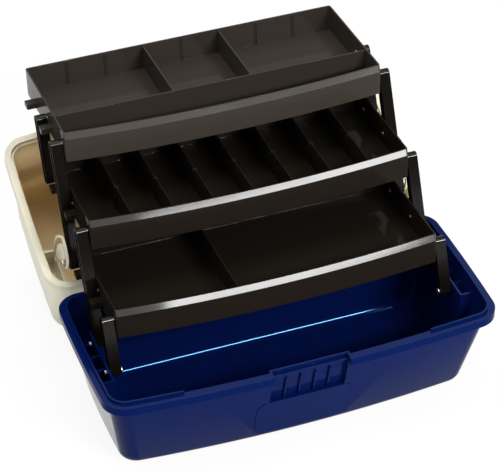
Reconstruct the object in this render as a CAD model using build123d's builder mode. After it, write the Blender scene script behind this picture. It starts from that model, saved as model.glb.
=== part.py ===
from build123d import *
from math import acos, atan2, cos, degrees, hypot, radians, sin, sqrt
import os

# A three-tray cantilever tool box, shown open. Lengths are millimetres, angles degrees.
# X runs along the box, Y from the front to the back, Z up. The origin is on the table, under the
# middle of the base's rim.

# Base tub
box_width = 430.0
box_depth = 191.0
base_height = 110.0
front_bow = 10.5
side_bow = 2.0
corner_radius = 20.0
base_wall = 2.8
base_floor = 3.0
foot_radius = 7.0
edge_turns = (90, 60, 30, 0)
base_side_draft = 18.0
base_front_draft = 28.0
base_rear_draft = 12.0

# Rim that base and lid share, and the tongue that seals it
rim_reach = 6.0
rim_band = 9.0
rim_gap = 0.4
tongue_height = 3.0
tongue_thickness = 2.0
tongue_clearance = 0.5
tongue_opening = 270.0

# Lid shell
lid_depth = 127.5
lid_wall = 2.6
lid_edge_radius = 8.0
lid_side_draft = 14.0
lid_front_draft = 7.0
lid_rear_draft = 6.0
table_gap = 0.3

# Lid hinges
hinge_setback = 6.0
hinge_drop = 1.0
hinge_spacing = 280.0
knuckle_radius = 4.5
knuckle_length = 14.0
knuckle_gap = 0.4
knuckle_arm = 3.0
knuckle_overlap = 1.0
hinge_pin_radius = 2.0
hinge_pin_head = 1.0
pin_clearance = 0.08

# Trays
tray_side_room = 37.5
tray_depth = 145.0
tray_height = 31.0
tray_wall = 1.8
tray_bow = 10.5
bevel_height = 7.0
bevel_reach = 2.2
skirt_height = 2.8
tray_corner_radius = 3.0
divider_thickness = 1.6
divider_drop = 1.5
cell_count = 8
end_cell_extra = 2.3
inner_front_setback = 38.0
bottom_divider_x = -47.0
slot_rib_size = 1.2
slot_rib_gap = 2.2
cross_slot_setback = 54.0
lug_length = 10.5
lug_thickness = 6.0
lug_drop = 4.6
lug_setback = 3.3

# Tray bars: pivots are measured from a tray's rim at its front corners
bar_width = 10.5
bar_thickness = 12.0
bar_gap = 1.0
bar_web = 2.2
bar_flange = 1.7
boss_height = 5.0
pivot_setback = 9.0
pivot_drop = 17.0
pivot_spacing = 55.0
pivot_pin_radius = 2.0
pin_head_radius = 3.1
pin_head_height = 1.4
pin_head_gap = 0.3
pin_stand = 0.6
tray_bar_length = 65.5
lower_bar_length = 55.7
bar_lean = 22.4
tray_pitch = 4.0
rear_pivot_setback = 60.2
rear_pivot_drop = 21.3
front_pivot_drop = 17.0

# End brackets inside the base
bracket_gap = 1.2
bracket_wall = 2.4
bracket_margin = 4.2
bracket_top_drop = 8.0
bracket_depth = 37.0
bracket_front_reach = 25.0
bracket_rib_drop = 7.2
bracket_rib_shares = (0.36, 0.62)

# Drive studs on the upper bars and slotted gussets in the lid. The trays are down when the lid has
# turned by the stow angle. The rest of the slot is the arc that the still studs draw in the lid
# as it goes on turning.
stow_angle = 92.0
foot_reach = 10.0
foot_end_radius = 5.0
stud_radius = 2.5
stud_flange_radius = 4.6
stud_flange_height = 1.6
stud_seat_depth = 6.0
stud_end_gap = 0.4
gusset_gap = 2.0
gusset_thickness = 2.4
gusset_margin = 2.6
slot_clearance = 0.6
gusset_height = 40.0
gusset_foot_rise = 12.0

# Front wall of the base: raised apron, low plate, and the recess that the latch closes on
apron_step = 1.2
apron_foot_drop = 76.0
apron_wrap = 27.5
apron_side_drop = 20.0
apron_shoulder_drop = 24.0
apron_waist_drop = 38.0
apron_dip_drop = 57.0
apron_shoulder_share = 0.6
apron_waist_share = 0.36
plate_step = 0.8
plate_width = 108.0
plate_gap = 2.0
plate_foot = 9.0
plate_corner = 12.0
latch_opening = 83.0
latch_recess_height = 48.0
latch_recess_depth = 5.6
recess_wall = 2.2
recess_rib_pitch = 16.0
recess_rib_thickness = 1.8
recess_rib_depth = 3.0
recess_rib_drop = 16.0
sill_drop = 5.0
sill_height = 4.0
sill_depth = 3.4
prong_x = (-32.0, -26.0, 19.0, 25.0)
prong_drop = 19.0
prong_thickness = 2.0
prong_depth = 7.0
prong_height = 18.0

# Latch
latch_side_gap = 2.5
latch_thickness = 2.6
latch_axis_rise = 13.0
latch_barrel_radius = 3.6
latch_pin_radius = 1.5
latch_foot_drop = 42.0
latch_wall_gap = 0.6
latch_pin_clearance = 0.08
ear_thickness = 4.0
hook_gap = 0.5
hook_reach = 1.6
hook_nose = 1.8
hook_root = 1.0
latch_fold = 170.0
latch_pin_head = 1.0
latch_pin_stand = 0.5

# Carrying handle on the lid
handle_span = 132.0
handle_reach = 32.0
handle_bar_radius = 3.9
handle_pin_radius = 2.2
handle_axis_y = -17.0
handle_axis_depth = 6.0
handle_recess_depth = 12.0
handle_recess_margin = 3.0
handle_pin_clearance = 0.1
handle_eye_radius = 5.6
handle_eye_width = 7.0
handle_side_gap = 1.0
pocket_corner = 6.0
bail_corner = 9.0
grip_radius = 5.0
handle_pin_root = 1.0
grip_length = 92.0

os.makedirs("parts", exist_ok=True)


def turned(y, z, angle):
    """A point of the side view, turned about the origin from Y towards Z."""
    a = radians(angle)
    return y * cos(a) - z * sin(a), y * sin(a) + z * cos(a)


def along(angle, length):
    """A step of the given length in the side view, at an angle from Y towards Z."""
    return length * cos(radians(angle)), length * sin(radians(angle))


# Linkage in the side view: the bars' angles, open and closed, and each tray's place
half_width = box_width / 2
rim_front = -box_depth / 2
rim_rear = box_depth / 2
tray_width = box_width - 2 * tray_side_room
cell_pitch = (tray_width - 2 * end_cell_extra) / cell_count
rear_pivot_y = rim_rear - rear_pivot_setback
rear_pivot_z = base_height - rear_pivot_drop
front_pivot_z = base_height - front_pivot_drop
hinge_y = rim_rear + hinge_setback
hinge_z = base_height - hinge_drop
open_angle = 90 - bar_lean
stack_rise = sqrt(tray_bar_length**2 - pivot_spacing**2)
closed_angle = 180 - degrees(atan2(stack_rise, pivot_spacing))
bar_swing = closed_angle - open_angle

edge_y = rim_rear - rim_reach - lid_rear_draft - lid_edge_radius - hinge_y
edge_z = base_height + rim_gap + lid_depth - lid_edge_radius - hinge_z
edge_fall = (hinge_z - lid_edge_radius - table_gap) / hypot(edge_y, edge_z)
lid_angle = degrees(acos(-edge_fall)) - degrees(atan2(edge_y, edge_z))


def linkage(folded):
    """Side-view places of the three trays and the upper bars' feet: folded is 0 open, 1 closed."""
    bar = open_angle + bar_swing * folded
    pitch = -tray_pitch * (1 - folded)
    low_y, low_z = along(bar, lower_bar_length)
    one_y, one_z = along(bar, tray_bar_length)
    step_y, step_z = turned(pivot_spacing, 0, pitch)
    corner_y, corner_z = turned(pivot_setback, -pivot_drop, pitch)
    middle_y = rear_pivot_y + low_y
    middle_z = rear_pivot_z + low_z
    bottom = (middle_y - step_y - corner_y, middle_z - step_z - corner_z)
    middle = (middle_y + one_y - corner_y, middle_z + one_z - corner_z)
    foot = (middle_y + step_y, middle_z + step_z)
    top = (foot[0] + 2 * one_y - corner_y, foot[1] + 2 * one_z - corner_z)
    return bottom, middle, top, foot, bar, pitch


bottom_place, middle_place, top_place, upper_foot, _, _ = linkage(0)
front_top_open = (
    upper_foot[0] - turned(2 * pivot_spacing, 0, -tray_pitch)[0],
    upper_foot[1] - turned(2 * pivot_spacing, 0, -tray_pitch)[1],
)
closed_foot = linkage(1)[3]
front_top_closed = (closed_foot[0] - 2 * pivot_spacing, closed_foot[1])
travel_y = front_top_open[0] - front_top_closed[0]
travel_z = front_top_open[1] - front_top_closed[1]
halfway_y = (front_top_open[0] + front_top_closed[0]) / 2
halfway_z = (front_top_open[1] + front_top_closed[1]) / 2
front_pivot_y = halfway_y - (front_pivot_z - halfway_z) * travel_z / travel_y
front_rise_y = front_top_open[0] - front_pivot_y
front_rise_z = front_top_open[1] - front_pivot_z
front_bar_length = hypot(front_rise_y, front_rise_z)
front_bar_lean = degrees(atan2(front_rise_y, front_rise_z))

# Layers outward from the tray wall, along X
tray_half = tray_width / 2
bar_inner = tray_half + bar_gap
bar_outer = bar_inner + bar_thickness
gusset_inner = bar_outer + gusset_gap
gusset_outer = gusset_inner + gusset_thickness
bracket_inner = bar_outer + bracket_gap
bracket_outer = bracket_inner + bracket_wall
pin_bore_radius = pivot_pin_radius + pin_clearance
wall_side_slope = base_side_draft / base_height


def outline(half, front, rear, radius):
    """Rounded rectangle with a bowed front and slightly bowed ends, as base and lid have."""
    middle = (front + rear) / 2
    with BuildSketch() as shape:
        with BuildLine():
            ThreePointArc((-half, front), (0, front - front_bow), (half, front))
            ThreePointArc((half, front), (half + side_bow, middle), (half, rear))
            Line((half, rear), (-half, rear))
            ThreePointArc((-half, rear), (-half - side_bow, middle), (-half, front))
        make_face()
        fillet(shape.vertices(), radius)
    return shape.sketch


def edge_steps(radius):
    """The inset and rise of each line of a rounded edge, from its flat face to its wall."""
    steps = []
    for turn in edge_turns:
        steps.append((radius * (1 - cos(radians(turn))), radius * (1 - sin(radians(turn)))))
    return steps


def base_ring(height, inset):
    """The base wall's outline at a height above the table, inset by a thickness."""
    lean = 1 - height / base_height
    return outline(
        half_width - rim_reach - base_side_draft * lean - inset,
        rim_front + rim_reach + base_front_draft * lean + inset,
        rim_rear - rim_reach - base_rear_draft * lean - inset,
        corner_radius - inset,
    )


def lid_ring(rise, inset):
    """The lid wall's outline at a rise above its own rim, inset by a thickness."""
    lean = rise / lid_depth
    return outline(
        half_width - rim_reach - lid_side_draft * lean - inset,
        rim_front + rim_reach + lid_front_draft * lean + inset,
        rim_rear - rim_reach - lid_rear_draft * lean - inset,
        corner_radius - inset,
    )


def save(piece, label, place=None):
    """Put a finished piece in its place at rest, name it and write its STEP file."""
    if place is not None:
        piece.part.locate(place)
    piece.part.label = label
    export_step(piece.part, f"parts/{label}.step")


# Base: a drafted tub with a rim band, a raised tongue, end brackets and a ribbed latch recess.
# Its raised apron is the part of the front wall above the swooping step line.
apron_foot = base_height - apron_foot_drop
apron_side = base_height - apron_side_drop
apron_shoulder = half_width * apron_shoulder_share
apron_waist = half_width * apron_waist_share
with BuildPart() as apron:
    with BuildSketch(Plane.XY.offset(apron_foot)):
        add(base_ring(apron_foot, -apron_step))
    with BuildSketch(Plane.XY.offset(base_height)):
        add(base_ring(base_height, -apron_step))
    loft()
    with BuildSketch(Plane.XZ.offset(-rim_front - apron_wrap)):
        with BuildLine():
            swoop = Spline(
                (-half_width, apron_side),
                (-apron_shoulder, base_height - apron_shoulder_drop),
                (-apron_waist, base_height - apron_waist_drop),
                (0, base_height - apron_dip_drop),
                (apron_waist, base_height - apron_waist_drop),
                (apron_shoulder, base_height - apron_shoulder_drop),
                (half_width, apron_side),
            )
            Polyline(
                swoop @ 1,
                (half_width, base_height),
                (-half_width, base_height),
                swoop @ 0,
            )
        make_face()
    extrude(amount=box_depth, mode=Mode.INTERSECT)

# Low plate in the middle of the front wall, under the latch
recess_foot = base_height - latch_recess_height
plate_top = recess_foot - plate_gap
with BuildPart() as front_plate:
    with BuildSketch(Plane.XY):
        add(base_ring(0, -plate_step))
    with BuildSketch(Plane.XY.offset(base_height)):
        add(base_ring(base_height, -plate_step))
    loft()
    with BuildSketch(Plane.XZ):
        with Locations((0, (plate_top + plate_foot) / 2)):
            RectangleRounded(plate_width, plate_top - plate_foot, plate_corner)
    extrude(amount=box_depth, mode=Mode.INTERSECT)

wall_front = rim_front + rim_reach - front_bow
wall_slope = base_front_draft / base_height


def recess_slab(start, end, foot, top):
    """A slab that follows the sloping front wall between two depths behind its face."""
    with BuildSketch() as profile:
        with BuildLine():
            Polyline(
                (wall_front + wall_slope * (base_height - top) + start, top),
                (wall_front + wall_slope * (base_height - top) + end, top),
                (wall_front + wall_slope * (base_height - foot) + end, foot),
                (wall_front + wall_slope * (base_height - foot) + start, foot),
                close=True,
            )
        make_face()
    return profile.sketch


recess_back = latch_recess_depth + recess_wall
sill_top = base_height - sill_drop
with BuildPart() as recess_shell:
    with BuildSketch(Plane.YZ):
        add(recess_slab(0, recess_back, recess_foot - recess_wall, base_height))
    extrude(amount=latch_opening / 2 + recess_wall, both=True)
with BuildPart() as recess_hollow:
    with BuildSketch(Plane.YZ):
        add(recess_slab(-3 * rim_reach, latch_recess_depth, recess_foot, base_height + rim_reach))
    extrude(amount=latch_opening / 2, both=True)
with BuildPart() as recess_bars:
    for index in range(4):
        rib_x = (index - 1.5) * recess_rib_pitch
        with BuildSketch(Plane.YZ.offset(rib_x - recess_rib_thickness / 2)):
            add(
                recess_slab(
                    latch_recess_depth - recess_rib_depth,
                    latch_recess_depth + recess_wall / 2,
                    recess_foot - recess_wall / 2,
                    base_height - recess_rib_drop,
                )
            )
        extrude(amount=recess_rib_thickness)
    with BuildSketch(Plane.YZ):
        add(
            recess_slab(
                latch_recess_depth - sill_depth,
                latch_recess_depth + recess_wall / 2,
                sill_top - sill_height,
                sill_top,
            )
        )
    extrude(amount=latch_opening / 2 + recess_wall / 2, both=True)

bracket_front = front_pivot_y - bracket_front_reach
bracket_rear = rear_pivot_y + bracket_margin
bracket_top = base_height - bracket_top_drop
bracket_foot = bracket_top - bracket_depth
rib_top_inside = bracket_top - bracket_rib_drop
bracket_length = bracket_rear - bracket_front
bracket_end = half_width - rim_reach - base_side_draft * (1 - bracket_foot / base_height)
# End brackets that carry the lower pivots, ribbed to the end walls
with BuildPart() as brackets:
    with BuildSketch(Plane.YZ.offset(bracket_inner)):
        with Locations(((bracket_front + bracket_rear) / 2, (bracket_top + bracket_foot) / 2)):
            Rectangle(bracket_length, bracket_top - bracket_foot)
        with Locations((front_pivot_y, front_pivot_z), (rear_pivot_y, rear_pivot_z)):
            Circle(pin_bore_radius, mode=Mode.SUBTRACT)
    extrude(amount=bracket_wall)
    rib_stations = [
        (bracket_front + bracket_wall / 2, bracket_top),
        (bracket_rear - bracket_wall / 2, rear_pivot_z - pin_head_radius - 2 * pin_head_gap),
    ]
    for share in bracket_rib_shares:
        rib_stations.append((bracket_front + bracket_length * share, rib_top_inside))
    for rib_y, rib_top in rib_stations:
        with BuildSketch(Plane.XZ.offset(-rib_y)):
            with BuildLine():
                Polyline(
                    (bracket_inner + bracket_wall / 2, bracket_foot),
                    (bracket_end, bracket_foot),
                    (bracket_end + wall_side_slope * (rib_top - bracket_foot), rib_top),
                    (bracket_inner + bracket_wall / 2, rib_top),
                    close=True,
                )
            make_face()
        extrude(amount=bracket_wall / 2, both=True)
    with BuildSketch(Plane.XY.offset(bracket_foot)):
        with Locations(((bracket_inner + bracket_end) / 2, (bracket_front + bracket_rear) / 2)):
            Rectangle(bracket_end - bracket_inner, bracket_length)
    extrude(amount=bracket_wall)
    mirror(about=Plane.YZ)

prong_z = base_height - prong_drop
prong_y = wall_front + wall_slope * prong_drop + recess_back + prong_depth / 2 - hook_nose / 4
with BuildPart() as base:
    for inset, rise in edge_steps(foot_radius):
        with BuildSketch(Plane.XY.offset(rise)):
            add(base_ring(rise, inset))
    for height in (base_height - rim_band, base_height):
        with BuildSketch(Plane.XY.offset(height)):
            add(base_ring(height, 0))
    loft(ruled=True)
    add(apron.part)
    add(front_plate.part)
    with BuildSketch(Plane.XY.offset(base_height - rim_band)):
        add(outline(half_width, rim_front, rim_rear, corner_radius + rim_reach))
    extrude(amount=rim_band)
    with BuildSketch(Plane.XY.offset(base_floor)):
        add(base_ring(base_floor, base_wall))
    with BuildSketch(Plane.XY.offset(base_height)):
        add(base_ring(base_height, base_wall))
    loft(mode=Mode.SUBTRACT)
    # Tongue round the mouth, left out along the front where the latch closes
    with BuildSketch(Plane.XY.offset(base_height)):
        add(base_ring(base_height, base_wall - tongue_thickness))
        add(base_ring(base_height, base_wall), mode=Mode.SUBTRACT)
        with Locations((0, rim_front)):
            Rectangle(tongue_opening, 2 * (front_bow + rim_reach + base_wall), mode=Mode.SUBTRACT)
    extrude(amount=tongue_height)
    add(recess_shell.part)
    add(recess_hollow.part, mode=Mode.SUBTRACT)
    add(recess_bars.part)
    # Prongs behind the recess, in two pairs
    with Locations(*[(x, prong_y, prong_z) for x in prong_x]):
        Box(prong_thickness, prong_depth, prong_height)
    add(brackets.part)
    # Hinge knuckles on the rear rim
    arm_length = hinge_setback + 2 * knuckle_overlap
    arm_y = hinge_y - hinge_setback / 2 - knuckle_overlap
    for side in (-1, 1):
        with BuildSketch(Plane.YZ.offset(side * hinge_spacing / 2)):
            with Locations((hinge_y, hinge_z)):
                Circle(knuckle_radius)
            with Locations((arm_y, hinge_z - knuckle_radius / 2)):
                Rectangle(arm_length, knuckle_radius)
            with Locations((hinge_y, hinge_z)):
                Circle(hinge_pin_radius + pin_clearance, mode=Mode.SUBTRACT)
        extrude(amount=knuckle_length / 2, both=True)
save(base, "base")

# Lid: a deep shell with the same rim, modelled closed and then swung open about the hinge
lid_rim = base_height + rim_gap
lid_top = lid_rim + lid_depth
lid_place = (
    Location((0, hinge_y, hinge_z), (-lid_angle, 0, 0)) * Location((0, -hinge_y, -hinge_z))
)
stud_path = []
drive_steps = [(folded, lid_angle - stow_angle * folded) for folded in (0, 0.3, 0.55, 0.8, 1)]
dwell_steps = [(1, (lid_angle - stow_angle) * share) for share in (0.85, 0.6, 0.3, 0)]
for folded, opening in drive_steps + dwell_steps:
    _, _, _, foot_pivot, bar_angle, _ = linkage(folded)
    foot_y, foot_z = along(bar_angle - 90, foot_reach)
    path_y, path_z = turned(
        foot_pivot[0] + foot_y - hinge_y, foot_pivot[1] + foot_z - hinge_z, opening
    )
    stud_path.append((path_y + hinge_y, path_z + hinge_z))
slot_radius = stud_radius + slot_clearance
gusset_front = stud_path[-1][0] - stud_flange_radius - gusset_thickness - gusset_margin / 2
gusset_foot = lid_rim + gusset_foot_rise
gusset_top = lid_rim + gusset_height
handle_axis_z = lid_top - handle_axis_depth
handle_mid_y = handle_axis_y + handle_reach / 2
pocket_length = handle_span + handle_eye_width + 2 * handle_side_gap
pocket_depth_y = handle_reach + 2 * (handle_bar_radius + handle_recess_margin)
lid_front = rim_front + rim_reach - front_bow
latch_axis_y = lid_front - latch_barrel_radius - latch_wall_gap
latch_axis_z = lid_rim + latch_axis_rise


def slot_shape(radius):
    """The stud's curved path in the side view, widened to a slot with round ends."""
    sides = ([], [])
    last = len(stud_path) - 1
    for index, (y, z) in enumerate(stud_path):
        before = stud_path[max(index - 1, 0)]
        after = stud_path[min(index + 1, last)]
        run = hypot(after[0] - before[0], after[1] - before[1])
        step_y = (after[0] - before[0]) / run * radius
        step_z = (after[1] - before[1]) / run * radius
        sides[0].append((y - step_z, z + step_y))
        sides[1].append((y + step_z, z - step_y))
        if index == 0:
            start_tip = (y - step_y, z - step_z)
        if index == last:
            end_tip = (y + step_y, z + step_z)
    with BuildSketch() as shape:
        with BuildLine():
            Spline(*sides[0])
            ThreePointArc(sides[0][-1], end_tip, sides[1][-1])
            Spline(*reversed(sides[1]))
            ThreePointArc(sides[1][0], start_tip, sides[0][0])
        make_face()
    return shape.sketch


with BuildPart() as lid_form:
    for inset, fall in edge_steps(lid_edge_radius):
        with BuildSketch(Plane.XY.offset(lid_top - fall)):
            add(lid_ring(lid_depth - fall, inset))
    for rise in (rim_band, 0):
        with BuildSketch(Plane.XY.offset(lid_rim + rise)):
            add(lid_ring(rise, 0))
    loft(ruled=True)

# The gussets' ribs end inside the lid's wall
with BuildPart() as lid_core:
    for rise in (0, lid_depth - lid_wall / 2):
        with BuildSketch(Plane.XY.offset(lid_rim + rise)):
            add(lid_ring(rise, lid_wall / 2))
    loft(ruled=True)

with BuildPart() as gussets:
    with BuildSketch(Plane.YZ.offset(gusset_inner)):
        with BuildLine():
            Polyline(
                (gusset_front, gusset_foot),
                (hinge_y, gusset_foot),
                (hinge_y, gusset_top),
                (gusset_front, gusset_top),
                close=True,
            )
        make_face()
    extrude(amount=gusset_thickness)
    with BuildSketch(Plane.YZ.offset(gusset_inner)):
        with Locations(((gusset_front + hinge_y) / 2, gusset_top)):
            Rectangle(hinge_y - gusset_front, gusset_thickness)
        with Locations((gusset_front + gusset_thickness / 2, (gusset_foot + gusset_top) / 2)):
            Rectangle(gusset_thickness, gusset_top - gusset_foot)
    extrude(amount=half_width - gusset_inner)
    add(lid_core.part, mode=Mode.INTERSECT)
    with BuildSketch(Plane.YZ.offset(gusset_inner)):
        add(slot_shape(slot_radius + gusset_margin))
        with BuildLine():
            Polyline(*stud_path, close=True)
        make_face()
    extrude(amount=gusset_thickness)
    with BuildSketch(Plane.YZ.offset(gusset_inner - gusset_thickness)):
        add(slot_shape(slot_radius))
    extrude(amount=3 * gusset_thickness, mode=Mode.SUBTRACT)
    mirror(about=Plane.YZ)

# Ears on the lid's front that hold the latch pin
with BuildPart() as ears:
    with BuildSketch(Plane.YZ.offset(latch_opening / 2)):
        with Locations((latch_axis_y, latch_axis_z)):
            Circle(latch_barrel_radius)
        with Locations((latch_axis_y + latch_barrel_radius, latch_axis_z)):
            Rectangle(2 * latch_barrel_radius, 2 * latch_barrel_radius)
        with Locations((latch_axis_y, latch_axis_z)):
            Circle(latch_pin_radius + pin_clearance, mode=Mode.SUBTRACT)
    extrude(amount=ear_thickness)
    mirror(about=Plane.YZ)

with BuildPart() as lid:
    add(lid_form.part)
    with BuildSketch(Plane.XY.offset(lid_rim)):
        add(outline(half_width, rim_front, rim_rear, corner_radius + rim_reach))
        with Locations((0, rim_front - front_bow)):
            Rectangle(latch_opening, 2 * rim_reach, mode=Mode.SUBTRACT)
    extrude(amount=rim_band)
    for rise in (0, tongue_height + tongue_clearance, lid_depth - lid_wall):
        with BuildSketch(Plane.XY.offset(lid_rim + rise)):
            add(lid_ring(rise, lid_wall))
    loft(ruled=True, mode=Mode.SUBTRACT)
    # Rebate that takes the base's tongue
    with BuildSketch(Plane.XY.offset(lid_rim)):
        add(base_ring(base_height, base_wall - tongue_thickness - tongue_clearance))
    extrude(amount=tongue_height + tongue_clearance, mode=Mode.SUBTRACT)
    # Pocket in the top for the handle, with a wall all round it inside the shell
    with BuildSketch(Plane.XY.offset(lid_top - handle_recess_depth - lid_wall)):
        with Locations((0, handle_mid_y)):
            RectangleRounded(
                pocket_length + 2 * lid_wall, pocket_depth_y + 2 * lid_wall, pocket_corner
            )
    extrude(amount=handle_recess_depth)
    with BuildSketch(Plane.XY.offset(lid_top - handle_recess_depth)):
        with Locations((0, handle_mid_y)):
            RectangleRounded(pocket_length, pocket_depth_y, pocket_corner - lid_wall)
    extrude(amount=handle_recess_depth, mode=Mode.SUBTRACT)
    with BuildSketch(Plane.YZ):
        with Locations((handle_axis_y, handle_axis_z)):
            Circle(handle_pin_radius + pin_clearance)
    extrude(amount=pocket_length / 2 + lid_wall, both=True, mode=Mode.SUBTRACT)
    # Slotted gussets in the rear corners
    add(gussets.part)
    add(ears.part)
    # Knuckles of the hinges, either side of the base's
    for side in (-1, 1):
        for end in (-1, 1):
            knuckle_x = side * hinge_spacing / 2 + end * (knuckle_length + knuckle_gap)
            with BuildSketch(Plane.YZ.offset(knuckle_x)):
                with Locations((hinge_y, hinge_z)):
                    Circle(knuckle_radius)
                with Locations((arm_y, lid_rim + knuckle_arm / 2)):
                    Rectangle(arm_length, knuckle_arm)
                with Locations((hinge_y, hinge_z)):
                    Circle(hinge_pin_radius + pin_clearance, mode=Mode.SUBTRACT)
            extrude(amount=knuckle_length / 2, both=True)
save(lid, "lid", lid_place)


def tray_plan(forward, inset):
    """A tray's outline: straight ends and back, bowed front, moved forward and inset."""
    half = tray_half - inset
    front = inset - forward
    rear = tray_depth - inset
    with BuildSketch() as shape:
        with BuildLine():
            ThreePointArc((-half, front), (0, front - tray_bow), (half, front))
            Polyline((half, front), (half, rear), (-half, rear), (-half, front))
        make_face()
        fillet(shape.vertices(), tray_corner_radius - inset / 2)
    return shape.sketch


def strip_box(x, front, rear, foot, top, thickness):
    """An upright strip across the tray, from front to rear, centred on x."""
    with Locations((x, (front + rear) / 2, (foot + top) / 2)):
        Box(thickness, rear - front, top - foot, mode=Mode.ADD)


def tray(pivots):
    """A tray shell about the middle of its front rim: bevelled front, skirt, lugs and pin holes."""
    with BuildPart() as shell:
        with BuildSketch(Plane.XY):
            add(tray_plan(0, 0))
        with BuildSketch(Plane.XY.offset(-bevel_height)):
            add(tray_plan(bevel_reach, 0))
        loft()
        with BuildSketch(Plane.XY.offset(-tray_height)):
            add(tray_plan(bevel_reach, 0))
        extrude(amount=tray_height - bevel_height)
        with BuildSketch(Plane.XY.offset(-tray_height - skirt_height)):
            add(tray_plan(bevel_reach, 0))
            with Locations((0, tray_depth / 2 + tray_wall)):
                Rectangle(2 * tray_width, tray_depth, mode=Mode.SUBTRACT)
            add(tray_plan(bevel_reach, tray_wall), mode=Mode.SUBTRACT)
        extrude(amount=skirt_height)
        with BuildSketch(Plane.XY.offset(-tray_height + tray_wall)):
            add(tray_plan(0, tray_wall))
        extrude(amount=tray_height, mode=Mode.SUBTRACT)
        for pivot in (1, 2):
            lug_rear = pivot_setback + pivot * pivot_spacing - bar_width / 2 - lug_setback
            with BuildSketch(Plane.YZ.offset(tray_half - tray_wall / 2)):
                with Locations((lug_rear - lug_length / 2, -pivot_drop - lug_drop)):
                    Rectangle(lug_length, lug_thickness)
            extrude(amount=bar_gap + bar_thickness)
        mirror(about=Plane.YZ)
        with BuildSketch(Plane.YZ):
            for pivot in pivots:
                with Locations((pivot_setback + pivot * pivot_spacing, -pivot_drop)):
                    Circle(pin_bore_radius)
        extrude(amount=tray_width, both=True, mode=Mode.SUBTRACT)
    return shell.part


front_inside = -tray_bow + tray_wall / 2
tray_floor = -tray_height + tray_wall / 2
tray_back = tray_depth - tray_wall / 2
divider_top = -divider_drop
cell_lines = [(index - cell_count / 2) * cell_pitch for index in range(1, cell_count)]
top_lines = [-cell_pitch, cell_pitch]
rib_lines = [step * cell_pitch for step in (-3, -2, 0, 2, 3)]

with BuildPart() as tray_top:
    add(tray((0, 1)))
    with Locations((0, inner_front_setback + tray_wall / 2, (tray_floor + divider_top) / 2)):
        Box(tray_width - tray_wall, tray_wall, divider_top - tray_floor)
    for line_x in top_lines:
        strip_box(line_x, inner_front_setback, tray_back, tray_floor, divider_top, divider_thickness)
    for line_x in rib_lines:
        for offset in (-slot_rib_gap / 2, slot_rib_gap / 2):
            strip_box(
                line_x + offset,
                tray_back - slot_rib_size - tray_wall / 2,
                tray_back,
                tray_floor,
                divider_top,
                slot_rib_size,
            )
            strip_box(
                line_x + offset,
                inner_front_setback + tray_wall / 2,
                inner_front_setback + tray_wall + slot_rib_size,
                tray_floor,
                divider_top,
                slot_rib_size,
            )

with BuildPart() as tray_middle:
    add(tray((0, 1, 2)))
    for line_x in cell_lines:
        strip_box(line_x, 0, tray_back, tray_floor, divider_top, divider_thickness)
        for offset in (-slot_rib_gap / 2, slot_rib_gap / 2):
            with Locations(
                (line_x, cross_slot_setback + offset, (tray_floor + divider_top) / 2)
            ):
                Box(
                    divider_thickness + 2 * slot_rib_size,
                    slot_rib_size,
                    divider_top - tray_floor,
                )
    with BuildSketch(Plane.XY.offset(tray_floor)):
        for line_x in cell_lines:
            reach = tray_bow * (1 - (line_x / tray_half) ** 2) - tray_wall / 2
            with Locations((line_x, -reach / 2)):
                Rectangle(divider_thickness, reach)
    extrude(amount=divider_top - tray_floor)

with BuildPart() as tray_bottom:
    add(tray((0, 1, 2)))
    strip_box(
        bottom_divider_x, front_inside + 1, tray_back, tray_floor, divider_top, divider_thickness
    )

tray_places = {}
for label, origin in (("top", top_place), ("middle", middle_place), ("bottom", bottom_place)):
    tray_places[label] = Location((0, origin[0], origin[1]), (-tray_pitch, 0, 0))
save(tray_top, "tray_top", tray_places["top"])
save(tray_middle, "tray_middle", tray_places["middle"])
save(tray_bottom, "tray_bottom", tray_places["bottom"])


def bar(pivots, foot=0.0, loose_top=False):
    """A right-hand bar along Z from its lowest pivot: a channel open outward, a boss at each pin."""
    length = pivots[-1]
    with BuildPart() as blank:
        with BuildSketch(Plane.YZ.offset(bar_inner)):
            with Locations((0, length / 2)):
                SlotCenterToCenter(length, bar_width, rotation=90)
            if foot:
                with Locations((foot / 2, 0)):
                    SlotCenterToCenter(foot, 2 * foot_end_radius)
        extrude(amount=bar_thickness)
        with BuildSketch(Plane.YZ.offset(bar_inner + bar_web)):
            with Locations((0, length / 2)):
                SlotCenterToCenter(length, bar_width - 2 * bar_flange, rotation=90)
        extrude(amount=bar_thickness, mode=Mode.SUBTRACT)
        with BuildSketch(Plane.YZ.offset(bar_inner)):
            with Locations(*[(0, height) for height in pivots]):
                Circle(bar_width / 2 - bar_flange / 2)
        extrude(amount=bar_web + boss_height)
        with BuildSketch(Plane.YZ.offset(bar_inner)):
            with Locations(*[(0, height) for height in pivots]):
                Circle(pin_bore_radius)
            if foot:
                with Locations((foot, 0)):
                    Circle(stud_radius + pin_clearance)
        extrude(amount=bar_thickness, mode=Mode.SUBTRACT)
        if loose_top:
            with BuildSketch(Plane.YZ.offset(bar_inner)):
                with Locations((0, length)):
                    Circle(bar_width / 2 - bar_flange)
            extrude(amount=bar_thickness, mode=Mode.SUBTRACT)
    return blank.part


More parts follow.
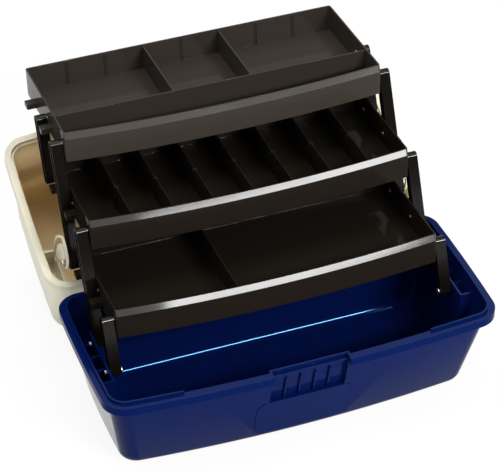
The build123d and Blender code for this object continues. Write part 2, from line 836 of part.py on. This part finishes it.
lower_pivots = (0, lower_bar_length, lower_bar_length + tray_bar_length)
upper_pivots = (0, tray_bar_length, 2 * tray_bar_length)
rear_foot = linkage(0)[3]
step_back = turned(pivot_spacing, 0, -tray_pitch)
rear_start = (
    rear_foot[0] + along(open_angle, tray_bar_length)[0] + step_back[0],
    rear_foot[1] + along(open_angle, tray_bar_length)[1] + step_back[1],
)
bar_places = {
    "front_bar": Location((0, front_pivot_y, front_pivot_z), (-front_bar_lean, 0, 0)),
    "lower_long_bar": Location((0, rear_pivot_y, rear_pivot_z), (-bar_lean, 0, 0)),
    "upper_long_bar": Location((0, rear_foot[0], rear_foot[1]), (-bar_lean, 0, 0)),
    "rear_bar": Location((0, rear_start[0], rear_start[1]), (-bar_lean, 0, 0)),
}
for bar_name, bar_shape in (
    ("front_bar", bar((0, front_bar_length), loose_top=True)),
    ("lower_long_bar", bar(lower_pivots)),
    ("upper_long_bar", bar(upper_pivots, foot=foot_reach)),
    ("rear_bar", bar((0, tray_bar_length))),
):
    with BuildPart() as right_bar:
        add(bar_shape)
    save(right_bar, f"{bar_name}_right", bar_places[bar_name])
    with BuildPart() as left_bar:
        add(bar_shape)
        mirror(about=Plane.YZ, mode=Mode.REPLACE)
    save(left_bar, f"{bar_name}_left", bar_places[bar_name])


def pin_set(places, start, stages):
    """Pins on both sides, along X from a start, with their steps listed as end and radius."""
    with BuildPart() as pins:
        for place in places:
            reach = start
            for stage_end, stage_radius in stages:
                with BuildSketch(Plane.YZ.offset(reach)):
                    with Locations(place):
                        Circle(stage_radius)
                extrude(amount=stage_end - reach)
                reach = stage_end
        mirror(about=Plane.YZ)
    return pins.part


boss_face = bar_inner + bar_web + boss_height
pin_root = tray_half - tray_wall - pin_stand
headed = [
    (boss_face + pin_head_gap, pivot_pin_radius),
    (boss_face + pin_head_gap + pin_head_height, pin_head_radius),
]
tray_pivot = [(pivot_setback + index * pivot_spacing, -pivot_drop) for index in range(3)]
for label, headed_places, plain_places in (
    ("top", tray_pivot[:2], []),
    ("middle", tray_pivot, []),
    ("bottom", tray_pivot[1:], tray_pivot[:1]),
):
    with BuildPart() as tray_pins:
        add(pin_set(headed_places, pin_root, headed))
        if plain_places:
            add(pin_set(plain_places, pin_root, [(bar_inner + bar_web + 1, pivot_pin_radius)]))
    save(tray_pins, f"{label}_tray_pins", tray_places[label])

with BuildPart() as base_pivot_pins:
    add(
        pin_set(
            [(front_pivot_y, front_pivot_z), (rear_pivot_y, rear_pivot_z)],
            bar_inner - pin_head_gap - pin_head_height,
            [
                (bar_inner - pin_head_gap, pin_head_radius),
                (bracket_outer, pivot_pin_radius),
                (bracket_outer + pin_head_height, pin_head_radius),
            ],
        )
    )
save(base_pivot_pins, "base_pivot_pins")

with BuildPart() as drive_studs:
    add(
        pin_set(
            [(foot_reach, 0)],
            bar_outer - stud_seat_depth,
            [
                (gusset_outer + stud_end_gap, stud_radius),
                (gusset_outer + stud_end_gap + stud_flange_height, stud_flange_radius),
            ],
        )
    )
save(drive_studs, "drive_studs", bar_places["upper_long_bar"])

hinge_pin_half = 1.5 * knuckle_length + knuckle_gap + hinge_pin_head
with BuildPart() as hinge_pins:
    for side in (-1, 1):
        with BuildSketch(Plane.YZ.offset(side * hinge_spacing / 2 - hinge_pin_half)):
            with Locations((hinge_y, hinge_z)):
                Circle(hinge_pin_radius)
        extrude(amount=2 * hinge_pin_half)
        head_x = side * (hinge_spacing / 2 + hinge_pin_half - hinge_pin_head)
        with BuildSketch(Plane.YZ.offset(head_x)):
            with Locations((hinge_y, hinge_z)):
                Circle(hinge_pin_radius + hinge_pin_head)
        extrude(amount=side * hinge_pin_head)
save(hinge_pins, "hinge_pins")

# Latch: barrel on its pin, a plate down the front of the box and a hook under the sill, modelled
# shut and then folded back against the open lid
latch_half = latch_opening / 2 - latch_side_gap
sill_y = wall_front + wall_slope * sill_drop + latch_recess_depth - sill_depth
hook_z = sill_top - sill_height - hook_gap
plate_lean = wall_slope * latch_foot_drop
with BuildPart() as latch:
    with BuildSketch(Plane.YZ):
        with Locations((latch_axis_y, latch_axis_z)):
            Circle(latch_barrel_radius)
        with BuildLine():
            Polyline(
                (latch_axis_y - latch_barrel_radius, latch_axis_z),
                (latch_axis_y - latch_barrel_radius + latch_thickness, latch_axis_z),
                (latch_axis_y - latch_barrel_radius + latch_thickness, base_height),
                (
                    latch_axis_y - latch_barrel_radius + latch_thickness + plate_lean,
                    base_height - latch_foot_drop,
                ),
                (
                    latch_axis_y - latch_barrel_radius + plate_lean,
                    base_height - latch_foot_drop,
                ),
                (latch_axis_y - latch_barrel_radius, base_height),
                close=True,
            )
        make_face()
        with BuildLine():
            Polyline(
                (latch_axis_y - latch_barrel_radius + hook_root, hook_z),
                (sill_y + hook_reach, hook_z),
                (sill_y + hook_reach, hook_z - hook_nose),
                (latch_axis_y - latch_barrel_radius + hook_root, hook_z - 2 * hook_nose),
                close=True,
            )
        make_face()
        with Locations((latch_axis_y, latch_axis_z)):
            Circle(latch_pin_radius + latch_pin_clearance, mode=Mode.SUBTRACT)
    extrude(amount=latch_half, both=True)
latch_turn = Location((0, latch_axis_y, latch_axis_z), (-latch_fold, 0, 0))
latch_back = Location((0, -latch_axis_y, -latch_axis_z))
save(latch, "latch", lid_place * latch_turn * latch_back)

latch_pin_half = latch_opening / 2 + ear_thickness + latch_pin_stand
with BuildPart() as latch_pin:
    with BuildSketch(Plane.YZ.offset(-latch_pin_half)):
        with Locations((latch_axis_y, latch_axis_z)):
            Circle(latch_pin_radius)
    extrude(amount=2 * latch_pin_half)
    with BuildSketch(Plane.YZ.offset(latch_pin_half)):
        with Locations((latch_axis_y, latch_axis_z)):
            Circle(latch_pin_radius + latch_pin_head)
    extrude(amount=latch_pin_head)
save(latch_pin, "latch_pin", lid_place)

# Handle: a moulded bail that hangs straight down while the lid is open, with a round grip
handle_hang = Location((0, handle_axis_y, handle_axis_z), (lid_angle + 180, 0, 0))
half_span = handle_span / 2
bail_outer = handle_span + 2 * handle_bar_radius
bail_top = handle_reach + handle_bar_radius
with BuildPart() as handle:
    with BuildSketch(Plane.XZ) as bail_shape:
        with Locations((0, bail_top / 2)):
            Rectangle(bail_outer, bail_top)
        fillet(bail_shape.vertices().group_by(Axis.Z)[-1], bail_corner)
        with Locations((0, (handle_reach - handle_bar_radius) / 2)):
            Rectangle(
                handle_span - 2 * handle_bar_radius,
                handle_reach - handle_bar_radius,
                mode=Mode.SUBTRACT,
            )
    extrude(amount=handle_bar_radius, both=True)
    with BuildSketch(Plane.YZ.offset(-grip_length / 2)):
        with Locations((0, handle_reach)):
            Circle(grip_radius)
    extrude(amount=grip_length)
    for side in (-1, 1):
        with BuildSketch(Plane.YZ.offset(side * half_span - handle_eye_width / 2)):
            Circle(handle_eye_radius)
        extrude(amount=handle_eye_width)
    with BuildSketch(Plane.YZ.offset(-handle_span)):
        Circle(handle_pin_radius + handle_pin_clearance)
    extrude(amount=2 * handle_span, mode=Mode.SUBTRACT)
save(handle, "handle", lid_place * handle_hang)

with BuildPart() as handle_pins:
    with BuildSketch(Plane.YZ.offset(half_span - handle_eye_width / 2 - handle_pin_root)):
        with Locations((handle_axis_y, handle_axis_z)):
            Circle(handle_pin_radius)
    extrude(amount=handle_eye_width + handle_side_gap + lid_wall + 2 * handle_pin_root)
    mirror(about=Plane.YZ)
save(handle_pins, "handle_pins", lid_place)
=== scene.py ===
import math

import bpy
from mathutils import Matrix, Vector


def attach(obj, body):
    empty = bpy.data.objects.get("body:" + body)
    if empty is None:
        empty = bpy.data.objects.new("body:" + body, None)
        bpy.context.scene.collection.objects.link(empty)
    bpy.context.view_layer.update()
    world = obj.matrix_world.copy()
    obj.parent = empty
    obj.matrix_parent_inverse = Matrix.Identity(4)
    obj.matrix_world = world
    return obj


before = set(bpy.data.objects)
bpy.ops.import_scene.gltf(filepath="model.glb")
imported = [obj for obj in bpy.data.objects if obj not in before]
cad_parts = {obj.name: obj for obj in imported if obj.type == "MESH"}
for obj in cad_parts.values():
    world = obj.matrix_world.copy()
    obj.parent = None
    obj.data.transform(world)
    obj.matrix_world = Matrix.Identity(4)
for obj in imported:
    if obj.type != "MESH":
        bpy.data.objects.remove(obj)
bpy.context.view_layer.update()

# Camera: the photograph was taken from the front left and well above, with a long lens. Its place
# and turn were fitted to the corners of the base, the trays and the lid.
camera_azimuth = math.radians(-20.05)
camera_elevation = math.radians(38.1)
camera_roll = math.radians(-0.48)
camera_place = Vector((-0.67392, -1.76717, 1.68758))
film_width = 36
lens_length = 169.1
away = Vector(
    (
        math.sin(camera_azimuth) * math.cos(camera_elevation),
        -math.cos(camera_azimuth) * math.cos(camera_elevation),
        math.sin(camera_elevation),
    )
)
level_right = Vector((math.cos(camera_azimuth), math.sin(camera_azimuth), 0))
level_up = away.cross(level_right)
right = level_right * math.cos(camera_roll) + level_up * math.sin(camera_roll)
upward = level_up * math.cos(camera_roll) - level_right * math.sin(camera_roll)
camera = bpy.data.objects.new("camera", bpy.data.cameras.new("camera"))
bpy.context.scene.collection.objects.link(camera)
camera.data.sensor_width = film_width
camera.data.lens = lens_length
camera.data.clip_start = 0.1
camera.data.clip_end = 40
camera.matrix_world = Matrix(
    [[right[row], upward[row], away[row], camera_place[row]] for row in range(3)]
    + [[0, 0, 0, 1]]
)
bpy.context.scene.camera = camera
bpy.context.scene.view_settings.view_transform = "Standard"

# Room: plain pale walls all round, which light the box softly from every side. The camera, and
# whatever is glossy or clear, sees them and the table under the box as white.
room_colour = (0.80, 0.80, 0.80, 1)
room_strength = 0.5
white = (1, 1, 1, 1)


def feed(socket, value):
    """Gives a node's input a plain value, or links it to another node's output."""
    if isinstance(value, bpy.types.NodeSocket):
        socket.id_data.links.new(value, socket)
    else:
        socket.default_value = value


def worked_out(tree, operation, *values, clamped=False):
    """The result of one Math node on plain values or other nodes' outputs."""
    step = tree.nodes.new("ShaderNodeMath")
    step.operation = operation
    step.use_clamp = clamped
    for socket, value in zip(step.inputs, values):
        feed(socket, value)
    return step.outputs["Value"]


def looked_at(tree):
    """1 for a ray that comes from the camera, or from a glossy or clear surface, and else 0."""
    ray = tree.nodes.new("ShaderNodeLightPath")
    direct = worked_out(tree, "MAXIMUM", ray.outputs["Is Camera Ray"], ray.outputs["Is Glossy Ray"])
    return worked_out(tree, "MAXIMUM", direct, ray.outputs["Is Transmission Ray"])


world = bpy.data.worlds.new("room")
world.use_nodes = True
bpy.context.scene.world = world
room = world.node_tree
walls = room.nodes["Background"]
feed(walls.inputs["Color"], room_colour)
feed(walls.inputs["Strength"], room_strength)
seen = room.nodes.new("ShaderNodeBackground")
feed(seen.inputs["Color"], white)
pick = room.nodes.new("ShaderNodeMixShader")
feed(pick.inputs["Fac"], looked_at(room))
feed(pick.inputs[1], walls.outputs["Background"])
feed(pick.inputs[2], seen.outputs["Background"])
feed(room.nodes["World Output"].inputs["Surface"], pick.outputs["Shader"])

# Table: a large sheet of white paper that keeps a faint shadow round the box. It is there for the
# picture only.
table_size = 9.0
paper_colour = (0.85, 0.85, 0.85, 1)
paper_glow = 0.9
paper = bpy.data.materials.new("table_paper")
paper.use_nodes = True
paper_tree = paper.node_tree
paper_tree.nodes.remove(paper_tree.nodes["Principled BSDF"])
matt = paper_tree.nodes.new("ShaderNodeBsdfDiffuse")
feed(matt.inputs["Color"], paper_colour)
glow = paper_tree.nodes.new("ShaderNodeEmission")
feed(glow.inputs["Color"], white)
blend = paper_tree.nodes.new("ShaderNodeMixShader")
feed(blend.inputs["Fac"], worked_out(paper_tree, "MULTIPLY", looked_at(paper_tree), paper_glow))
feed(blend.inputs[1], matt.outputs["BSDF"])
feed(blend.inputs[2], glow.outputs["Emission"])
feed(paper_tree.nodes["Material Output"].inputs["Surface"], blend.outputs["Shader"])
half_table = table_size / 2
table_mesh = bpy.data.meshes.new("table")
table_mesh.from_pydata(
    [
        (-half_table, -half_table, 0),
        (half_table, -half_table, 0),
        (half_table, half_table, 0),
        (-half_table, half_table, 0),
    ],
    [],
    [(0, 1, 2, 3)],
)
table_mesh.materials.append(paper)
table = bpy.data.objects.new("table", table_mesh)
bpy.context.scene.collection.objects.link(table)

# Lamps: soft ones overhead, behind, on the left and high in front. A narrow one draws the bright
# line on the fillet in the base, and a long strip just above the table in front draws the bright
# bands along the trays' bevelled front edges.
box_middle = Vector((0, 0.05, 0.15))


def soft_lamp(name, place, width, height, watts):
    """A rectangular lamp, out of the camera's sight, that faces the middle of the box."""
    light = bpy.data.lights.new(name, "AREA")
    light.shape = "RECTANGLE"
    light.size = width
    light.size_y = height
    light.energy = watts
    lamp = bpy.data.objects.new(name, light)
    lamp.location = place
    lamp.rotation_mode = "QUATERNION"
    lamp.rotation_quaternion = (Vector(place) - box_middle).to_track_quat("Z", "Y")
    lamp.visible_camera = False
    bpy.context.scene.collection.objects.link(lamp)


soft_lamp("overhead_lamp", (-0.4, 0.3, 2.3), 1.2, 0.9, 25)
soft_lamp("back_lamp", (0.5, 1.6, 2.0), 1.6, 1.0, 17)
soft_lamp("left_lamp", (-2.0, -0.4, 1.3), 0.8, 1.2, 7)
soft_lamp("front_top_lamp", (-0.5, -1.6, 1.9), 0.8, 0.8, 3)
soft_lamp("rim_lamp", (0.58, -1.6, 1.45), 0.9, 0.22, 44)
soft_lamp("front_strip_lamp", (0.56, -1.35, 0.25), 1.2, 0.17, 8)

# Base: the deep lower tub, injection moulded in one piece from glossy navy plastic. Its outside
# is finely textured, and its wall, rim, latch recess, brackets and hinge knuckles are one shot.
navy = (0.0012, 0.0065, 0.055, 1)
navy_worn = (0.0014, 0.0080, 0.064, 1)
navy_shine = (0.20, 0.55, 1.0, 1)
shell_edge = 0.0006
gloss_patches = 11
patch_detail = 5
patch_roughness = 0.6
patch_low = 0.3
patch_high = 0.7
grain_detail = 3
grain_height = 0.0004
lift_fade = 0.18
reach_fade = 0.4
nearly_level = 0.985
sloping = 0.90
edge_starts = 0.54
edge_full = 0.66
weld_distance = 0.00001
flat_turn = math.radians(0.6)
rounding_steps = 2


def ranged(tree, value, start, end, low=0, high=1, smooth=False):
    """A node's output, stretched so that start gives low and end gives high."""
    stretch = tree.nodes.new("ShaderNodeMapRange")
    stretch.interpolation_type = "SMOOTHSTEP" if smooth else "LINEAR"
    feed(stretch.inputs["Value"], value)
    feed(stretch.inputs["From Min"], start)
    feed(stretch.inputs["From Max"], end)
    feed(stretch.inputs["To Min"], low)
    feed(stretch.inputs["To Max"], high)
    return stretch.outputs["Result"]


def blended(tree, share, first, second):
    """A mix of two colours by the share of the second."""
    mix = tree.nodes.new("ShaderNodeMix")
    mix.data_type = "RGBA"
    feed(mix.inputs["Factor"], share)
    feed(mix.inputs["A"], first)
    feed(mix.inputs["B"], second)
    return mix.outputs["Result"]


def parts_of(tree, direction):
    """The X, Y and Z outputs of a place or a normal."""
    split = tree.nodes.new("ShaderNodeSeparateXYZ")
    feed(split.inputs["Vector"], direction)
    return split.outputs


def moulded_plastic(
    name,
    colour,
    worn_colour,
    *,
    gloss,
    gloss_spread,
    grain,
    grain_depth,
    shine,
    polished,
    reach=1,
    lift=0.12,
):
    """Moulded plastic: gloss that drifts in soft patches, a fine grain, worn edges, and more shine
    where hands have polished slopes that face up past the lift and forward past the reach."""
    plastic = bpy.data.materials.new(name)
    plastic.use_nodes = True
    tree = plastic.node_tree
    shader = tree.nodes["Principled BSDF"]
    place = tree.nodes.new("ShaderNodeTexCoord")
    patches = tree.nodes.new("ShaderNodeTexNoise")
    feed(patches.inputs["Vector"], place.outputs["Object"])
    feed(patches.inputs["Scale"], gloss_patches)
    feed(patches.inputs["Detail"], patch_detail)
    feed(patches.inputs["Roughness"], patch_roughness)
    patch = patches.outputs["Fac"]
    roughness = ranged(
        tree, patch, patch_low, patch_high, gloss - gloss_spread, gloss + gloss_spread
    )
    feed(shader.inputs["Roughness"], roughness)
    fine = tree.nodes.new("ShaderNodeTexNoise")
    feed(fine.inputs["Vector"], place.outputs["Object"])
    feed(fine.inputs["Scale"], grain)
    feed(fine.inputs["Detail"], grain_detail)
    relief = tree.nodes.new("ShaderNodeBump")
    feed(relief.inputs["Strength"], grain_depth)
    feed(relief.inputs["Distance"], grain_height)
    feed(relief.inputs["Height"], fine.outputs["Fac"])
    feed(shader.inputs["Normal"], relief.outputs["Normal"])
    facing = parts_of(tree, place.outputs["Normal"])
    rising = ranged(tree, facing["Z"], lift, lift + lift_fade, smooth=True)
    forward = ranged(tree, facing["Y"], reach + reach_fade, reach, smooth=True)
    slanted = ranged(tree, facing["Z"], nearly_level, sloping, smooth=True)
    shoulder = worked_out(tree, "MULTIPLY", rising, forward)
    rounded = worked_out(tree, "MULTIPLY", shoulder, slanted)
    feed(shader.inputs["Specular IOR Level"], ranged(tree, rounded, 0, 1, shine, polished))
    shape = tree.nodes.new("ShaderNodeNewGeometry")
    edges = ranged(tree, shape.outputs["Pointiness"], edge_starts, edge_full)
    rubbed = worked_out(tree, "MULTIPLY", edges, patch)
    feed(shader.inputs["Base Color"], blended(tree, rubbed, colour, worn_colour))
    return plastic


def finish_node(node, material, edge_radius, sharpest_curve=34):
    """Rounds a CAD piece's edges that turn more than its curves' steps, and gives it its finish."""
    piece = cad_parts[node]
    if piece.data.has_custom_normals:
        with bpy.context.temp_override(object=piece, active_object=piece):
            bpy.ops.mesh.customdata_custom_splitnormals_clear()
    for face in piece.data.polygons:
        face.use_smooth = True
    weld = piece.modifiers.new("weld", "WELD")
    weld.merge_threshold = weld_distance
    facets = piece.modifiers.new("facets", "DECIMATE")
    facets.decimate_type = "DISSOLVE"
    facets.angle_limit = flat_turn
    rounding = piece.modifiers.new("rounding", "BEVEL")
    rounding.width = edge_radius
    rounding.segments = rounding_steps
    rounding.limit_method = "ANGLE"
    rounding.angle_limit = math.radians(sharpest_curve)
    rounding.harden_normals = True
    rounding.miter_outer = "MITER_ARC"
    piece.data.materials.clear()
    piece.data.materials.append(material)
    return piece


navy_plastic = moulded_plastic(
    "navy_plastic",
    navy,
    navy_worn,
    gloss=0.08,
    gloss_spread=0.02,
    grain=900,
    grain_depth=0.02,
    shine=0.03,
    polished=0.8,
)
feed(navy_plastic.node_tree.nodes["Principled BSDF"].inputs["Specular Tint"], navy_shine)
finish_node("base", navy_plastic, shell_edge)

# Floor fillet: the rounded inside corner between the base's floor and its rear wall, which the
# mould leaves so that the plastic flows round it. It is part of the base's one moulding.
floor_top = 0.003
rear_wall_foot = 0.0750
wall_lean = 0.11
fillet_radius = 0.0068
fillet_half_length = 0.166
fillet_sink = 0.0012
fillet_steps = 9
fillet_ends = (-fillet_half_length, fillet_half_length)
wall_turn = math.atan(1 / wall_lean)
centre_y = rear_wall_foot - fillet_radius * (
    math.sin(wall_turn) - wall_lean * (1 - math.cos(wall_turn))
)
centre_z = floor_top + fillet_radius
turns = [wall_turn * step / fillet_steps for step in range(fillet_steps + 1)]
curve = [
    (centre_y + fillet_radius * math.sin(turn), centre_z - fillet_radius * math.cos(turn))
    for turn in turns
]
corner = (rear_wall_foot + fillet_sink, floor_top - fillet_sink)
points = []
faces = []
for outline in (curve, [curve[-1], corner, curve[0]]):
    first = len(points)
    count = len(outline)
    points += [(x, y, z) for x in fillet_ends for y, z in outline]
    faces += [(i, i + count, i + count + 1, i + 1) for i in range(first, first + count - 1)]
for x in fillet_ends:
    cap = list(range(len(points), len(points) + len(curve) + 1))
    points += [(x, y, z) for y, z in curve + [corner]]
    faces.append(cap if x < 0 else cap[::-1])
fillet_mesh = bpy.data.meshes.new("base_floor_fillet")
fillet_mesh.from_pydata(points, [], faces)
for face in fillet_mesh.polygons:
    face.use_smooth = face.index < fillet_steps
fillet_mesh.materials.append(navy_plastic)
fillet = bpy.data.objects.new("base_floor_fillet", fillet_mesh)
bpy.context.scene.collection.objects.link(fillet)
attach(fillet, "base")

# Lid: the deep upper shell, moulded in one piece from cream plastic with a satin surface. It
# hangs open behind the base and its slotted rear gussets drive the trays. Its inside and its
# gussets are painted a warmer, darker tan. This is painted shade, for the shade and the warm
# bounced light inside the shell. The outside keeps the plain cream.
cream = (0.66, 0.62, 0.48, 1)
cream_worn = (0.72, 0.69, 0.58, 1)
# The inside tan is painted shade: a warmer, darker cream for the shade and bounced light inside the
# shell.
cream_painted_shade = (0.95, 0.75, 0.42, 1)
gusset_reach = 0.192
facing_fade = 0.01
cream_plastic = moulded_plastic(
    "cream_plastic",
    cream,
    cream_worn,
    gloss=0.36,
    gloss_spread=0.06,
    grain=700,
    grain_depth=0.10,
    shine=0.3,
    polished=0.4,
)
lid = finish_node("lid", cream_plastic, shell_edge)
lid_corners = [Vector(place) for place in lid.bound_box]
lid_middle = sum(lid_corners, Vector()) / len(lid_corners)
lid_tree = cream_plastic.node_tree
lid_place = lid_tree.nodes.new("ShaderNodeTexCoord")
outward = lid_tree.nodes.new("ShaderNodeVectorMath")
outward.operation = "SUBTRACT"
feed(outward.inputs[0], lid_place.outputs["Object"])
feed(outward.inputs[1], lid_middle)
turned_out = lid_tree.nodes.new("ShaderNodeVectorMath")
turned_out.operation = "DOT_PRODUCT"
feed(turned_out.inputs[0], outward.outputs["Vector"])
feed(turned_out.inputs[1], lid_place.outputs["Normal"])
# Faces turned inwards get the inside tan, which is painted shade. Faces turned outwards keep the
# plain cream.
outer_face = ranged(lid_tree, turned_out.outputs["Value"], -facing_fade, facing_fade)
across = worked_out(lid_tree, "ABSOLUTE", parts_of(lid_tree, lid_place.outputs["Object"])["X"])
sideways = worked_out(lid_tree, "ABSOLUTE", parts_of(lid_tree, lid_place.outputs["Normal"])["X"])
at_gusset = worked_out(lid_tree, "LESS_THAN", across, gusset_reach)
# The gussets' sides also take the inside tan, as painted shade.
shaded_gusset = worked_out(lid_tree, "MULTIPLY", at_gusset, sideways, clamped=True)
unshaded_outside = worked_out(lid_tree, "SUBTRACT", outer_face, shaded_gusset, clamped=True)
lid_colour = lid_tree.nodes["Principled BSDF"].inputs["Base Color"]
outer_cream = lid_colour.links[0].from_socket
feed(lid_colour, blended(lid_tree, unshaded_outside, cream_painted_shade, outer_cream))

# Trays: three shallow tubs moulded in glossy black plastic, each with a bowed, bevelled front,
# a skirt under it, stop lugs on its ends and thin dividers. The top one is painted a lighter
# black. This is painted light, for the light from above and behind that falls on it and not on
# the trays under it.
black = (0.0105, 0.0082, 0.0062, 1)
# The top tray's lighter black is painted light, for the light from above and behind that reaches
# it.
top_tray_painted_light_black = (0.031, 0.0255, 0.021, 1)
black_worn = (0.03, 0.03, 0.03, 1)
tray_edge = 0.0004
tray_crease = 14
front_slope = -0.5
tray_plastic = moulded_plastic(
    "tray_plastic",
    black,
    black_worn,
    gloss=0.09,
    gloss_spread=0.03,
    grain=400,
    grain_depth=0.02,
    shine=0.04,
    polished=0.7,
    reach=front_slope,
)
top_tray_plastic = moulded_plastic(
    "top_tray_plastic",
    top_tray_painted_light_black,
    black_worn,
    gloss=0.11,
    gloss_spread=0.03,
    grain=400,
    grain_depth=0.02,
    shine=0.05,
    polished=0.5,
    reach=front_slope,
)
finish_node("tray_bottom", tray_plastic, tray_edge, tray_crease)
finish_node("tray_middle", tray_plastic, tray_edge, tray_crease)
finish_node("tray_top", top_tray_plastic, tray_edge, tray_crease)

# Bars: eight channel-section arms, four at each end, moulded in black plastic. They turn on
# pins in the base and the trays and lift the trays in steps.
bar_black = (0.0045, 0.0036, 0.0030, 1)
bar_worn = (0.008, 0.007, 0.006, 1)
bar_edge = 0.0009
bar_plastic = moulded_plastic(
    "bar_plastic",
    bar_black,
    bar_worn,
    gloss=0.12,
    gloss_spread=0.04,
    grain=500,
    grain_depth=0.02,
    shine=0.02,
    polished=0.4,
    reach=0.2,
    lift=0.5,
)
for kind in ("front_bar", "lower_long_bar", "upper_long_bar", "rear_bar"):
    for side in ("left", "right"):
        finish_node(f"{kind}_{side}", bar_plastic, bar_edge)

# Pins and drive studs: turned steel rivets with low heads. The lathe has left fine rings on them,
# which show in their tint and their gloss.
steel_dark = (0.50, 0.49, 0.47, 1)
steel_pale = (0.66, 0.66, 0.66, 1)
ring_scale = 220
ring_wander = 1.2
ring_depth = 0.12
ring_height = 0.0002
steel_smooth = 0.24
steel_dull = 0.42
pin_edge = 0.0003
steel = bpy.data.materials.new("pin_steel")
steel.use_nodes = True
steel_tree = steel.node_tree
steel_shader = steel_tree.nodes["Principled BSDF"]
steel_place = steel_tree.nodes.new("ShaderNodeTexCoord")
turning = steel_tree.nodes.new("ShaderNodeTexWave")
turning.wave_type = "RINGS"
turning.rings_direction = "X"
feed(turning.inputs["Vector"], steel_place.outputs["Object"])
feed(turning.inputs["Scale"], ring_scale)
feed(turning.inputs["Distortion"], ring_wander)
rings = turning.outputs["Fac"]
steel_relief = steel_tree.nodes.new("ShaderNodeBump")
feed(steel_relief.inputs["Strength"], ring_depth)
feed(steel_relief.inputs["Distance"], ring_height)
feed(steel_relief.inputs["Height"], rings)
feed(steel_shader.inputs["Metallic"], 1)
feed(steel_shader.inputs["Normal"], steel_relief.outputs["Normal"])
feed(steel_shader.inputs["Roughness"], ranged(steel_tree, rings, 0, 1, steel_smooth, steel_dull))
feed(steel_shader.inputs["Base Color"], blended(steel_tree, rings, steel_dark, steel_pale))
for pins in (
    "base_pivot_pins",
    "bottom_tray_pins",
    "middle_tray_pins",
    "top_tray_pins",
    "drive_studs",
    "hinge_pins",
    "latch_pin",
    "handle_pins",
):
    finish_node(pins, steel, pin_edge)

# Latch and handle: the latch is a navy moulding on a pin in the lid's front, and the handle a
# black bail that folds into the pocket in the lid's top.
handle_edge = 0.0005
finish_node("latch", navy_plastic, shell_edge)
finish_node("handle", bar_plastic, handle_edge)
